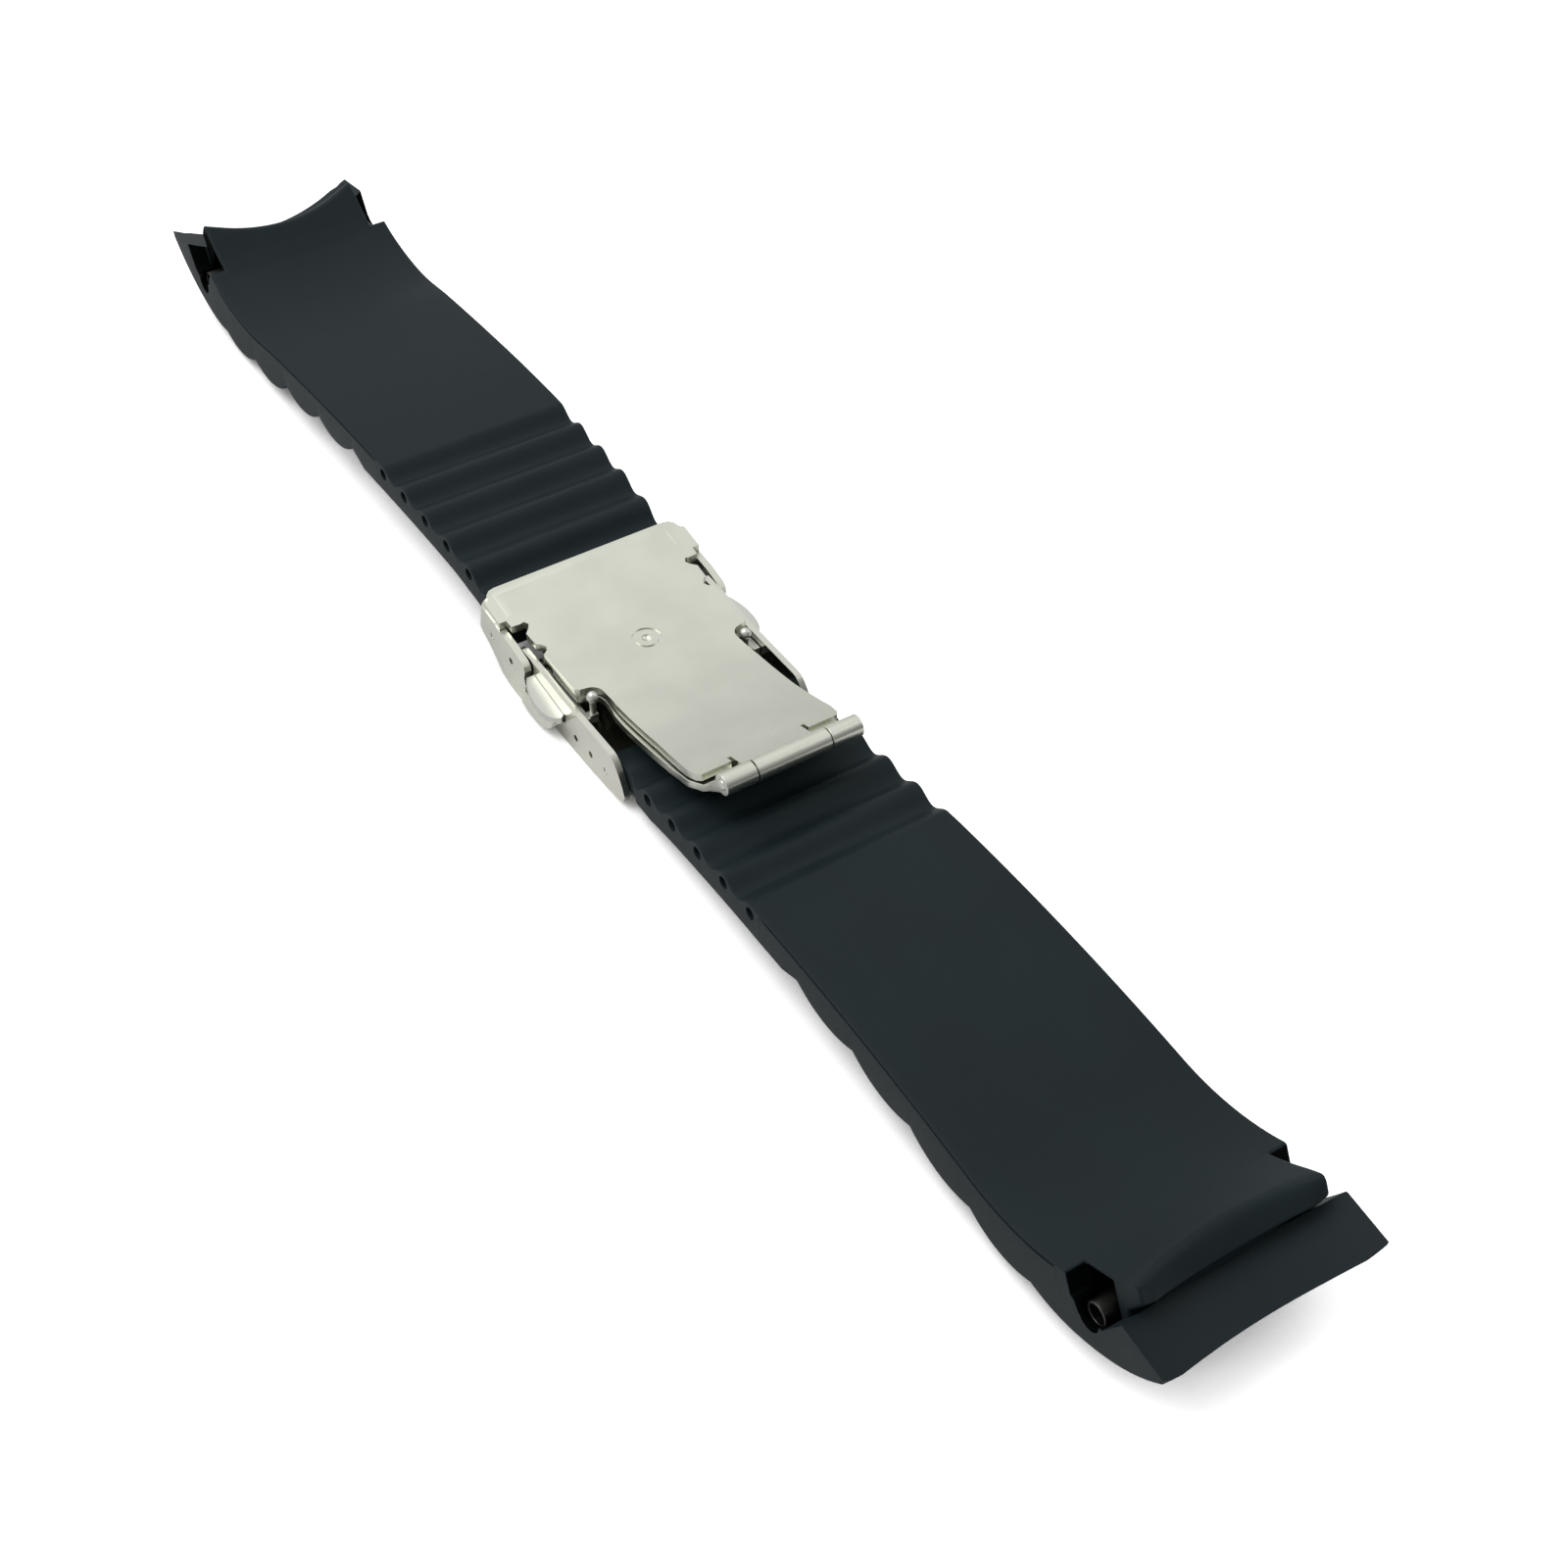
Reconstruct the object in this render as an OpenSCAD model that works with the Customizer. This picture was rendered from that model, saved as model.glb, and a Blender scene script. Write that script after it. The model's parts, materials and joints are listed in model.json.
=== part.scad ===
// Silicone watch strap with a three-part push-button folding clasp.
// The strap lies face down: X runs along it, Z is up, the wrist side is on top.
// The clasp is closed. The cover's outer face touches the ground at Z = 0.

/* [Watch fit] */
// Width of the strap between the watch's lugs
lug_w = 20; // [18:0.5:21]
// Width of the strap over the lugs
strap_w = 24; // [23:0.5:27]
// Radius of the hole that takes the watch's own spring bar
lug_bore_r = 0.95; // [0.7:0.05:1.05]
// Wall of the steel sleeve in the lug end
sleeve_wall = 0.3; // [0.2:0.05:0.4]
// How far the sleeve stands out of the strap's tongue at each side
sleeve_out = 1.2; // [0.4:0.1:1.6]
// Radius of the watch case that the tongue's end is scooped to
case_r = 22; // [19:1:27]

/* [Strap] */
// Length of the far half from its spring bar to the lug curl
far_len = 61.3; // [56:0.5:68]
// Length of the near half from its spring bar to the lug curl
near_len = 63; // [57:0.5:69]
// Width of each half where it enters the clasp
mouth_w = 22.1; // [21:0.1:22.2]
// Height of the rib tops and the inner face over the spring-bar line
crest = 1.2; // [1.1:0.05:1.6]
// Thickness of the ribbed stretch, ribs included
rib_t = 3.9; // [3.5:0.1:4.2]
// Spacing of the ribs
rib_pitch = 4.95; // [4.4:0.05:5.2]
// Number of cross-drilled ribs that show outside the clasp
rib_count = 5; // [3:1:5]
// Depth of the valleys between the ribs
rib_depth = 1.1; // [0.6:0.1:1.4]
// Distance from the spring bar to the first rib's hole
first_rib = 8; // [7.5:0.25:9]
// Radius of the cross holes in the ribs
rib_hole_r = 0.7; // [0.5:0.05:0.8]

/* [Scalloped outer face] */
// Spacing of the scallops
scallop_pitch = 9.3; // [8:0.1:9.6]
// Height of a scallop over the valleys beside it
scallop_rise = 0.75; // [0.5:0.05:1]
// How much more a scallop bulges in the strap's middle than at its edges
scallop_crown = 0.7; // [0.4:0.1:0.9]
// Thickness at the edges in the first valley, next to the ribs
valley_t = 2.9; // [2.7:0.1:3.4]
// Thickness at the last valley, next to the lugs
lug_valley_t = 4.2; // [3.8:0.1:4.8]
// Thickness at the lug shoulder
shoulder_t = 7.2; // [6.8:0.1:7.4]

/* [Lug end] */
// Length of the lug curl
curl_len = 14.2; // [13:0.2:16]
// Length of the tongue that goes between the watch's lugs
tongue_len = 7.4; // [7:0.1:7.8]
// Length of the end flap beyond the tongue
flap_len = 4; // [3.4:0.1:4.6]
// Length of the lug notch's floor
notch_len = 3.8; // [3.6:0.1:4]
// Depth of the lug notch below the inner face
notch_depth = 5.1; // [5:0.1:5.4]
// Distance from the lug shoulder to the lug bore
lug_bore_in = 2.1; // [1.9:0.1:2.6]
// Depth of the lug bore below the inner face
lug_bore_down = 3.75; // [3.4:0.05:3.8]

/* [How the strap lies] */
// Slope of the far half at its spring bar, in degrees
far_slope = 25.3; // [24:0.1:27]
// Slope of the near half at its spring bar, in degrees
near_slope = 19.3; // [17:0.1:21]
// Length of the bend that follows
leave_len = 13; // [11:0.5:15]
// Turn of the far half in that bend, in degrees
far_leave_turn = -25.5; // [-29:0.5:-19]
// Turn of the near half in that bend, in degrees
near_leave_turn = -13; // [-17:0.5:-9]
// Turn of the far half's body, in degrees
far_body_turn = -6.5; // [-10:0.5:-3]
// Turn of the near half's body, in degrees
near_body_turn = -12.5; // [-16:0.5:-8]
// Turn of the lug curl, in degrees
curl_turn = 33; // [26:1:38]

/* [Clasp blades] */
// Thickness of the two blades and the side arms
blade_t = 0.9; // [0.7:0.05:1]
// Radius of the inner blade's wrist side
blade_r = 75; // [65:1:90]
// Height of the inner blade's lowest point
blade_z = 7.1; // [7:0.05:7.6]
// Gap between the two blades
blade_gap = 0.25; // [0.15:0.05:0.4]
// Width over the side arms
clasp_w = 25; // [24.9:0.1:26]
// Width of the inner blade's waist
waist_w = 16.6; // [15.5:0.1:16.8]
// How much the middle blade shows at each side of the waist
blade_edge = 0.35; // [0.2:0.05:0.6]
// Distance from the clasp's middle to the blade hinge
barrel_x = 26.6; // [25.5:0.1:28]
// Radius of the hinge barrel
barrel_r = 1.15; // [1.05:0.05:1.3]
// Length of the hinge barrel
barrel_len = 15.8; // [14:0.2:16]
// Length of the barrel's middle knuckle
knuckle_len = 8.4; // [6:0.2:10]
// Radius of the hinge pins
pin_r = 0.6; // [0.5:0.05:0.7]

/* [Cover] */
// Thickness of the cover's sheet
cover_t = 0.7; // [0.6:0.05:0.8]
// Radius of the cover's outer face along the strap
cover_r = 90; // [70:5:140]
// Height of the cover's walls
wall_h = 5.75; // [5.6:0.05:5.9]
// Distance from the clasp's middle to the cover's open end
cover_end = 13.8; // [13.2:0.1:15]
// Distance from the clasp's middle to the cover's hinge
hinge_back = 7.8; // [7.6:0.1:8.2]
// Height of the cover's hinge
hinge_z = 2.5; // [2.3:0.1:2.8]
// Number of sizing holes in each wall
sizing_count = 3; // [2:1:3]
// Spacing of the sizing holes
sizing_pitch = 3.1; // [3:0.05:3.3]

/* [Spring bars] */
// Radius of a spring bar's tube
bar_r = 0.65; // [0.6:0.01:0.66]
// Radius of a spring bar's tip
tip_r = 0.33; // [0.3:0.01:0.36]
// How far a tip can be pushed in
tip_travel = 0.9; // [0.9:0.05:1.1]
// Place of the far spring bar behind the clasp's middle
far_bar_back = 12.4; // [12.2:0.1:12.8]
// Height of the far spring bar
far_bar_z = 4.65; // [4.5:0.05:4.8]
// Place of the near spring bar ahead of the clasp's middle
near_bar_x = 10; // [9.8:0.1:10.4]
// Height of the near spring bar
near_bar_z = 2.6; // [2.5:0.05:2.8]

/* [Push-buttons] */
// Length of a button along the wall
button_len = 6.6; // [6:0.1:7]
// How far a button stands out of the cover's wall
button_out = 1.9; // [1.4:0.1:2]
// Thickness of a button
button_t = 0.9; // [0.7:0.05:1]
// Height of a button's upper face
button_z = 4.4; // [4.2:0.05:4.5]
// How far a button can be pressed
button_travel = 0.5; // [0.4:0.05:0.5]
// Radius of the catch's ball head
ball_r = 0.65; // [0.45:0.05:0.7]

/* [Fits] */
// Radial clearance of a pin, tube or tip that turns or slides
run_gap = 0.05; // [0.03:0.01:0.08]
// Gap between parts of the clasp that pass each other
side_gap = 0.15; // [0.12:0.01:0.2]

/* [Hidden] */

$fn = 48;
eps = 0.01;
wide = 40;

silicone = [0.11, 0.125, 0.14];
steel = [0.76, 0.75, 0.71];
spring_steel = [0.6, 0.6, 0.6];

// Places across the clasp, from its middle to the +Y side
arm_out = clasp_w / 2;
arm_in = arm_out - 0.8;
wall_out = arm_in - side_gap;
wall_in = wall_out - cover_t;
plate_out = wall_in - side_gap;
plate_in = plate_out - 0.7;
shoulder_out = wall_in - 0.4;
guard_out = arm_out + 0.5;

// Blade surfaces: all are arcs round one centre over the clasp
notch_y = waist_w / 2 - 0.2;
arc_x = -1.3;
arc_z = blade_z + blade_r;
inner_low_r = blade_r + blade_t;
middle_top_r = inner_low_r + blade_gap;
middle_low_r = middle_top_r + blade_t;
function arc_height(r, x) = arc_z - sqrt(r * r - (x - arc_x) * (x - arc_x));
barrel_z = arc_height(inner_low_r, barrel_x) + barrel_r;
back_x = -15.3;
tab_end = barrel_x - 3.6;
knuckle_gap = 0.3;

// Hinge of the cover
hinge_x = -hinge_back;
hinge_knuckle_r = pin_r + 0.6;
cover_back = hinge_x - 1.2;
floor_x = 1;
function cover_low(x) = cover_r - sqrt(cover_r * cover_r - (x - floor_x) * (x - floor_x));

// Places along a strap half, measured from its spring bar
last_rib = first_rib + (rib_count - 1) * rib_pitch;
first_valley = last_rib + 8.6;
scallop_count = 4;
last_valley = first_valley + scallop_count * scallop_pitch;

// A point [x, z, heading] after s along a bend [length, turn] that starts at p
function bend_point(p, bend, s) =
    let (turn = bend[1] * s / bend[0])
    abs(bend[1]) < 0.01
        ? [p[0] + s * cos(p[2]), p[1] + s * sin(p[2]), p[2]]
        : let (r = bend[0] / (bend[1] * PI / 180))
          [p[0] + r * (sin(p[2] + turn) - sin(p[2])), p[1] - r * (cos(p[2] + turn) - cos(p[2])), p[2] + turn];

// The same along a chain of bends, the last of which runs on
function along(p, bends, s, i = 0) =
    i == len(bends) - 1 || s <= bends[i][0]
        ? bend_point(p, bends[i], s)
        : along(bend_point(p, bends[i], bends[i][0]), bends, s - bends[i][0], i + 1);

// A point at height h over the spring-bar line
function over(q, h) = [q[0] - h * sin(q[2]), q[1] + h * cos(q[2])];

// One half is [spring-bar place, bends, half width in the clasp, mouth place, side of the clasp]
function bends_of(length, leave_turn, body_turn) =
    [[leave_len, leave_turn], [length - leave_len, body_turn], [curl_len, curl_turn]];
far_half = [[far_bar_back, far_bar_z, far_slope], bends_of(far_len, far_leave_turn, far_body_turn),
            min(mouth_w / 2, arm_in - side_gap), 3, -1];
near_half = [[near_bar_x, near_bar_z, near_slope], bends_of(near_len, near_leave_turn, near_body_turn),
             wall_in - side_gap, cover_end - near_bar_x + 0.6, 1];

function half_len(half) = half[1][0][0] + half[1][1][0] + half[1][2][0];
function at(half, s) = along(half[0], half[1], s);

// Height of the inner face: a wave over the ribs, level elsewhere
function top_h(s) =
    s > first_rib - rib_pitch && s < last_rib
        ? crest - rib_depth * (1 - cos(360 * (s - first_rib) / rib_pitch)) / 2
        : crest;

// Depth of the outer face along the valleys' line; the near half's tail is thin to clear the cover's floor
function tail_low(half) = half[4] < 0 ? 2.1 : 1.15;
function low_h(half, s, end = 0) =
    s < first_rib ? lookup(s, [[0, tail_low(half)], [first_rib, rib_t - crest]])
    : s < first_valley - 3 ? rib_t - crest
    : s < first_valley ? lookup(s, [[first_valley - 3, rib_t - crest], [first_valley, valley_t - crest]])
    : lookup(s, [[first_valley, valley_t - crest], [last_valley, lug_valley_t - crest],
                 [max(end, last_valley + 1), shoulder_t - crest]]);

// Side outline of a half, from its rounded tail to the lug shoulder
module side_outline(half) {
    end = half_len(half);
    ribs = [for (s = [0 : rib_pitch / 10 : last_rib]) s];
    body_n = 26;
    body = [for (i = [1 : body_n]) last_rib + (end - last_rib) * i / body_n];
    low_n = 36;
    tops = [for (s = concat(ribs, body)) over(at(half, s), top_h(s))];
    lows = [for (i = [low_n : -1 : 0]) let (s = i * end / low_n) over(at(half, s), -low_h(half, s, end))];
    tail_mid = (crest - tail_low(half)) / 2;
    round_end = [for (i = [1 : 7]) let (a = 270 - i * 22.5, p = at(half, 0), r = (crest + tail_low(half)) / 2)
        over([p[0] + 1.6 * cos(a) * cos(p[2]), p[1] + 1.6 * cos(a) * sin(p[2]), p[2]],
             tail_mid + r * sin(a))];
    polygon(concat(tops, lows, round_end));
}
// Plan of a half: its width in the clasp, the shoulder at the mouth, then the taper to the lugs
module plan_outline(half) {
    end = half_len(half);
    function edge(s, y) = [at(half, s)[0], y];
    right = [
        [half[0][0] - 5, half[2]],
        edge(half[3], half[2]), edge(half[3] + 0.6, max(half[2], mouth_w / 2)),
        edge(last_rib + 2, mouth_w / 2 + 0.35 * (strap_w - mouth_w) / 2 + 0.2),
        edge(end - 4, strap_w / 2), [at(half, end)[0] + 16, strap_w / 2]
    ];
    left = [for (i = [len(right) - 1 : -1 : 0]) [right[i][0], -right[i][1]]];
    polygon(concat(right, left));
}

// Stands a flat X-Z outline up and gives it a width across the strap
module across(width) {
    rotate([90, 0, 0]) linear_extrude(height = width, center = true) children();
}

// The same from y0 to y1
module between(y0, y1) {
    translate([0, y1, 0]) rotate([90, 0, 0]) linear_extrude(height = y1 - y0) children();
}

// A rod along Y from y0 to y1 at [x, z]
module rod(x, z, r, y0, y1) {
    translate([x, y0, z]) rotate([-90, 0, 0]) cylinder(r = r, h = y1 - y0);
}

// A slice of a barrel that lies across the strap and bulges most in its middle
module barrel_slice(r, low, high, x0, x1) {
    edge = strap_w / 2 + 1;
    rim = [for (i = [-4 : 4]) [r + scallop_crown * (1 - pow(i / 4, 2)), edge * i / 4]];
    intersection() {
        translate([0, 0, r - low]) rotate([90, 0, 0])
            rotate_extrude($fn = 128) polygon(concat([[0, -edge]], rim, [[0, edge]]));
        translate([x0, -wide / 2, -low - 2]) cube([x1 - x0, wide, low + 2 - high]);
    }
}

module scallop(half, k) {
    s = first_valley + (k + 0.5) * scallop_pitch;
    r = (pow(scallop_pitch / 2, 2) + pow(scallop_rise, 2)) / (2 * scallop_rise);
    low = low_h(half, s, half_len(half));
    q = at(half, s);
    translate([q[0], 0, q[1]]) rotate([0, -q[2], 0])
        barrel_slice(r, low + scallop_rise, 0.6, -scallop_pitch, scallop_pitch);
}

// Places things in the frame of the lug shoulder: X outwards along the strap, Z up from the inner face
module at_shoulder(half) {
    q = at(half, half_len(half));
    p = over(q, crest);
    translate([p[0], 0, p[1]]) rotate([0, -q[2], 0]) children();
}

// The lug end's floor and its flap, over the full width
module lug_floor() {
    tip = tongue_len + flap_len;
    polygon([
        [-1, -shoulder_t + 0.9], [-1, -1.5], [0.5, -2.7], [1, -3.9], [notch_len, -4.05],
        [tongue_len - 1.2, -2.2], [tongue_len - 0.3, -1.65], [tip - 2.2, -3.3], [tip - 0.7, -4.8],
        [tip, -5.1], [tip - 0.2, -5.45], [tip - 2, -shoulder_t + 1.2], [tip - 5, -shoulder_t + 0.6],
        [tip - 8.4, -shoulder_t + 0.4], [0.3, -shoulder_t + 0.6]
    ]);
}

// The pocket behind the floor's rim, which the sleeve's end stands in
module lug_pocket() {
    for (side = [0, 1]) mirror([0, side, 0])
        translate([0.7, lug_w / 2 - 1, -notch_depth])
            cube([notch_len + 0.2, 2.5, 3]);
}

// The tongue between the lugs
module tongue() {
    polygon([
        [-2, -0.6], [1.6, 0.45], [3.7, 0.55], [tongue_len - 0.9, 0.85], [tongue_len - 0.3, 0.6],
        [tongue_len, -0.1], [tongue_len - 0.1, -0.6], [tongue_len - 0.5, -1.1], [notch_len + 0.5, -notch_depth - 0.4],
        [-2, -notch_depth - 0.4]
    ]);
}

// The case's flank, which scoops the end
module case_scoop() {
    translate([tongue_len - 1.9, 0, 0.7]) rotate([0, -27, 0]) translate([case_r, 0, -20])
        cylinder(r = case_r, h = 40, $fn = 180);
}

module strap_half(half) {
    end = half_len(half);
    mirror([half[4] < 0 ? 1 : 0, 0, 0]) difference() {
        union() {
            intersection() {
                union() {
                    across(wide) side_outline(half);
                    for (k = [0 : scallop_count - 1]) scallop(half, k);
                }
                translate([0, 0, -20]) linear_extrude(height = 60) plan_outline(half);
            }
            at_shoulder(half) difference() {
                union() {
                    difference() {
                        union() {
                            across(strap_w) lug_floor();
                            intersection() {
                                translate([3.7, 0, 0])
                                    barrel_slice(19.9, shoulder_t - 0.2, shoulder_t - 3.1, -13, 7.2);
                                translate([-10, -strap_w / 2, -20]) cube([40, strap_w, 40]);
                            }
                        }
                        lug_pocket();
                    }
                    across(lug_w) tongue();
                }
                case_scoop();
            }
        }
        rod(half[0][0], half[0][1], bar_r + run_gap, -wide / 2, wide / 2);
        for (i = [0 : rib_count - 1]) let (q = at(half, first_rib + i * rib_pitch))
            rod(q[0], q[1], rib_hole_r, -wide / 2, wide / 2);
        at_shoulder(half)
            rod(lug_bore_in, -lug_bore_down, lug_bore_r + sleeve_wall + 0.01, -wide / 2, wide / 2);
    }
}

module lug_sleeve(half) {
    long = lug_w / 2 + sleeve_out;
    mirror([half[4] < 0 ? 1 : 0, 0, 0]) at_shoulder(half) difference() {
        rod(lug_bore_in, -lug_bore_down, lug_bore_r + sleeve_wall, -long, long);
        rod(lug_bore_in, -lug_bore_down, lug_bore_r, -wide / 2, wide / 2);
    }
}

module strap_far() {
    color(silicone) strap_half(far_half);
}

module strap_near() {
    color(silicone) strap_half(near_half);
}

module lug_sleeve_far() {
    color(steel) lug_sleeve(far_half);
}

module lug_sleeve_near() {
    color(steel) lug_sleeve(near_half);
}

// Side outline of a curved sheet between two radii of the blades' arc
module blade_sheet(top_r, low_r, x0, x1) {
    count = 24;
    xs = [for (i = [0 : count]) x0 + (x1 - x0) * i / count];
    polygon(concat([for (x = xs) [x, arc_height(top_r, x)]],
                   [for (i = [count : -1 : 0]) [xs[i], arc_height(low_r, xs[i])]]));
}

// Half of the inner blade's plan, from the back edge to the hinge
module inner_plan() {
    w = waist_w / 2;
    round_notch = [for (a = [190 : 16 : 270]) [3.9 + 1.4 * cos(a), notch_y + 1.5 + 1.5 * sin(a)]];
    polygon(concat(
        [[back_x, 0], [back_x, arm_out - 2], [back_x + 0.15, arm_out - 1.3], [back_x + 0.6, arm_out - 0.8],
         [back_x + 1.3, arm_out - 0.6], [back_x + 1.6, arm_out - 0.1], [back_x + 4.7, arm_out - 0.1],
         [back_x + 4.7, arm_in - 0.15], [-9.6, arm_in - 0.2], [-9.5, 10.5], [-9.6, 10], [-9.1, 9.7], [-8.6, 10],
         [-8, 10.6], [-6.2, 10.5], [-5.8, 10], [-5.3, 9.7], [-4.8, 9.9], [-4.4, shoulder_out],
         [2, shoulder_out], [2.4, 10]],
        round_notch,
        [[5.5, notch_y], [8, w - 0.1], [15, w - 0.1], [19, w + 0.1], [tab_end - 2, w + 0.2],
         [tab_end - 0.5, w], [tab_end, w - 0.4], [tab_end, knuckle_len / 2 + knuckle_gap],
         [tab_end - 0.9, knuckle_len / 2 + knuckle_gap], [tab_end - 0.9, knuckle_len / 2 - 0.1],
         [barrel_x - 0.3, knuckle_len / 2 - 0.1], [barrel_x - 0.3, 0]]
    ));
}

// Side outline of an arm: down from the plate to the ground, its front rounded about the cover's hinge
swing_r = 2.75;
module arm_outline() {
    top = arc_height(blade_r, back_x) - 1.1;
    front = [for (a = [-60 : 15 : 30]) [hinge_x + swing_r * cos(a), hinge_z + swing_r * sin(a)]];
    difference() {
        polygon(concat(
            [[back_x + 0.9, top], [back_x + 0.5, 6], [back_x + 0.1, 4.1], [back_x + 0.6, 3.6],
             [back_x + 1.8, 3], [back_x + 3, 2.2], [-10.7, 0.8], [-9.7, 0.5], [-8.6, 0.25], [-7.2, 0.12]],
            front,
            [[hinge_x + 2.65, 4.9], [hinge_x + 2.5, 5.5], [hinge_x + 2, 5.9], [-7.9, 6.4], [-10.4, 6.65],
             [-11.3, 6.8], [-11.6, top - 0.3]]
        ));
        translate([-8.3, 4.2]) circle(r = tip_r + run_gap);
    }
}

module arm() {
    between(arm_in, arm_out) arm_outline();
    // the folded corner that joins the arm to the plate
    fold = 1.3;
    slope = asin((back_x + 2.5 - arc_x) / blade_r);
    translate([back_x + 0.8, 0, arc_height(blade_r, back_x + 0.8)]) rotate([0, -slope, 0])
        rotate([0, 90, 0]) linear_extrude(height = 3.6) difference() {
            union() {
                translate([fold, arm_out - fold - 0.03]) circle(r = fold);
                translate([fold, arm_in + 0.05]) square([1.2, arm_out - arm_in - 0.1]);
                translate([0, arm_out - fold - 1]) square([blade_t, 1]);
            }
            translate([fold, arm_out - fold - 0.03]) circle(r = fold - 0.75);
            translate([fold, arm_out - fold - 3]) square([3, 3 + fold - 0.75]);
            translate([blade_t, arm_out - fold - 3]) square([3, 3]);
        }
}

module inner_blade() {
    color(steel) difference() {
        union() {
            intersection() {
                across(wide) blade_sheet(blade_r, inner_low_r, back_x, barrel_x);
                linear_extrude(height = 40) union() {
                    inner_plan();
                    mirror([0, 1]) inner_plan();
                }
            }
            for (side = [0, 1]) mirror([0, side, 0]) arm();
            rod(barrel_x, barrel_z, barrel_r, -knuckle_len / 2, knuckle_len / 2);
        }
        rod(barrel_x, barrel_z, pin_r + run_gap, -wide / 2, wide / 2);
        rod(-far_bar_back, far_bar_z, tip_r + run_gap, -wide / 2, wide / 2);
        // the plain round dimple that seats the blade on its press tool
        translate([-1, 0, blade_z - 0.12]) difference() {
            cylinder(r = 1.6, h = 2);
            translate([0, 0, -1]) cylinder(r = 1.25, h = 4);
        }
        translate([-1, 0, blade_z + 0.35]) sphere(r = 0.65);
    }
}

// Side outline of the middle blade: its arc, then the drop to the cover's hinge
module middle_outline() {
    x0 = -3.6;
    x1 = tab_end + 0.4;
    count = 20;
    xs = [for (i = [0 : count]) x0 + (x1 - x0) * i / count];
    polygon(concat(
        [for (x = xs) [x, arc_height(middle_top_r, x)]],
        [[barrel_x - 1.1, barrel_z - 0.2], [barrel_x, barrel_z - barrel_r + 0.05]],
        [for (i = [count : -1 : 0]) [xs[i], arc_height(middle_low_r, xs[i])]],
        [[-4.8, 4.7], [-5.9, 3.8], [-6.7, hinge_z + 0.4], [hinge_x, hinge_z],
         [hinge_x + 0.1, hinge_z + 1.1], [-6.6, 4.5], [-5.4, 5.6], [-4.4, arc_height(middle_top_r, -4.4)]]
    ));
}

module middle_plan() {
    w = waist_w / 2 + blade_edge;
    cut = knuckle_len / 2 + knuckle_gap / 2 + 0.1;
    polygon([
        [hinge_x - 2, 0], [hinge_x - 2, w], [-4.2, w], [-3.2, plate_in + 0.2], [2, plate_in + 0.2], [2.4, 9.3],
        [2.8, 8.6], [3.4, 8.2], [4.2, notch_y], [5.2, notch_y + 0.05], [7, w - 0.1], [9, w], [tab_end - 1.5, w],
        [tab_end - 0.3, w - 0.4], [tab_end + 1.4, barrel_len / 2 - 0.1], [barrel_x, barrel_len / 2 - 0.1],
        [barrel_x, cut], [tab_end + 0.6, cut], [tab_end + 0.6, 0]
    ]);
}

module middle_blade() {
    color(steel) difference() {
        union() {
            intersection() {
                across(wide) middle_outline();
                linear_extrude(height = 40) union() {
                    middle_plan();
                    mirror([0, 1]) middle_plan();
                }
            }
            for (side = [0, 1]) mirror([0, side, 0])
                rod(barrel_x, barrel_z, barrel_r, knuckle_len / 2 + knuckle_gap / 2, barrel_len / 2);
            rod(hinge_x, hinge_z, hinge_knuckle_r, -waist_w / 2 - blade_edge - 0.1, waist_w / 2 + blade_edge + 0.1);
        }
        rod(barrel_x, barrel_z, pin_r + 0.01, -wide / 2, wide / 2);
        rod(hinge_x, hinge_z, pin_r + run_gap, -wide / 2, wide / 2);
    }
}

module blade_hinge_pin() {
    color(steel) rod(barrel_x, barrel_z, pin_r, -barrel_len / 2 - 0.1, barrel_len / 2 + 0.1);
}

// Side outline of a cover wall
module wall_outline() {
    count = 16;
    xs = [for (i = [0 : count]) cover_back + 0.6 + (cover_end - 1 - cover_back - 0.6) * i / count];
    back = [for (a = [150 : 20 : 230]) [hinge_x + 1.9 * cos(a), hinge_z + 1.9 * sin(a)]];
    polygon(concat(
        [[cover_end - 2, wall_h - 0.5], [cover_end - 2.6, wall_h - 0.1], [cover_end - 3.1, wall_h],
         [1, wall_h - 0.1], [-3, wall_h + 0.2], [hinge_x + 0.6, wall_h + 0.3],
         [hinge_x - 0.3, wall_h - 0.1], [hinge_x - 1, wall_h - 1]],
        back,
        [for (x = xs) [x, cover_low(x)]],
        [[cover_end - 0.3, 1.1], [cover_end, 1.9], [cover_end - 0.4, 2.9], [cover_end - 1.2, 4.3]]
    ));
}

// Puts a flat piece into the slope of the button, about its back end
button_x = -4.9;
module in_slope() {
    translate([button_x, 0, button_z]) rotate([0, 7, 0]) children();
}

// A button's plan: a half-moon tab that stands out of its slot in the wall
module button_plan() {
    q = button_len / 6.6;
    y = wall_out - 1.9 + button_out;
    polygon([
        [0, plate_out], [0, y + 0.9], [0.5 * q, y + 1.2], [1.7 * q, y + 1.6], [2.7 * q, y + 1.82],
        [3.8 * q, y + 1.9], [4.8 * q, y + 1.84], [5.6 * q, y + 1.6], [6.2 * q, y + 1.2], [6.5 * q, y + 0.8],
        [6.6 * q, y + 0.4], [6.3 * q, y], [6.1 * q, plate_out]
    ]);
}

// The guard that stands out of the wall below the button
module guard_outline() {
    front = [for (a = [-36 : 12 : 12]) [hinge_x + (swing_r + side_gap) * cos(a), hinge_z + (swing_r + side_gap) * sin(a)]];
    polygon(concat(front, [
        [button_x + 0.3, button_z - button_t - 0.35], [1.2, button_z - button_t - 0.75], [1.4, 2.6],
        [0.6, 1.65], [-0.6, 0.9], [-1.7, 0.55], [-3.3, 0.45], [-4.6, 0.6]
    ]));
}

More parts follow.
